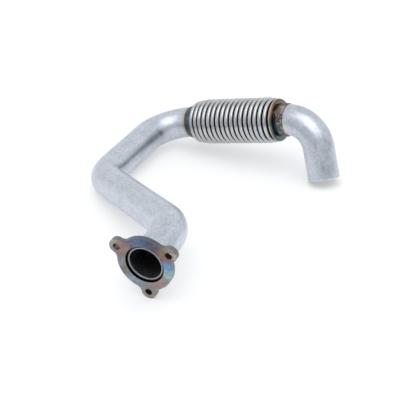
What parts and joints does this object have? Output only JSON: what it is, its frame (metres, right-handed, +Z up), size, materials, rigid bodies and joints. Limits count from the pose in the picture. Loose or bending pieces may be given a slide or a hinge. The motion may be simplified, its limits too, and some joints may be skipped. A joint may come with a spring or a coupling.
{
  "type": "air intake tube",
  "caption": "Bent steel air intake tube with an eared bolt flange, a corrugated bellows between welded collars, and an elbow that ends in a plain open pipe.",
  "frame": {"origin": "centre of the bounding box, on the table that the tube lies on", "axes": "+Z up from the table, +X along the bellows from the bent tube to the elbow, seen from above, and -Y towards the side that the flange faces"},
  "size_m": [0.36, 0.4847, 0.1192],
  "materials": {
    "flange_steel": "heat tinted",
    "tube_steel": "aluminised, satin",
    "bellows_steel": "bright formed sheet",
    "inlet_collar_steel": "blue-grey scale",
    "outlet_collar_steel": "bronze heat tint",
    "weld_steel": "rippled weld"
  },
  "bodies": {
    "root": {"flange": "flange_steel", "inlet_tube": "tube_steel", "bellows": "bellows_steel", "inlet_collar": "inlet_collar_steel", "outlet_collar": "outlet_collar_steel", "outlet_elbow": "tube_steel", "mouth_weld": "weld_steel", "flange_weld": "weld_steel", "inlet_collar_weld": "weld_steel", "outlet_collar_weld": "weld_steel"}
  },
  "joints": []
}
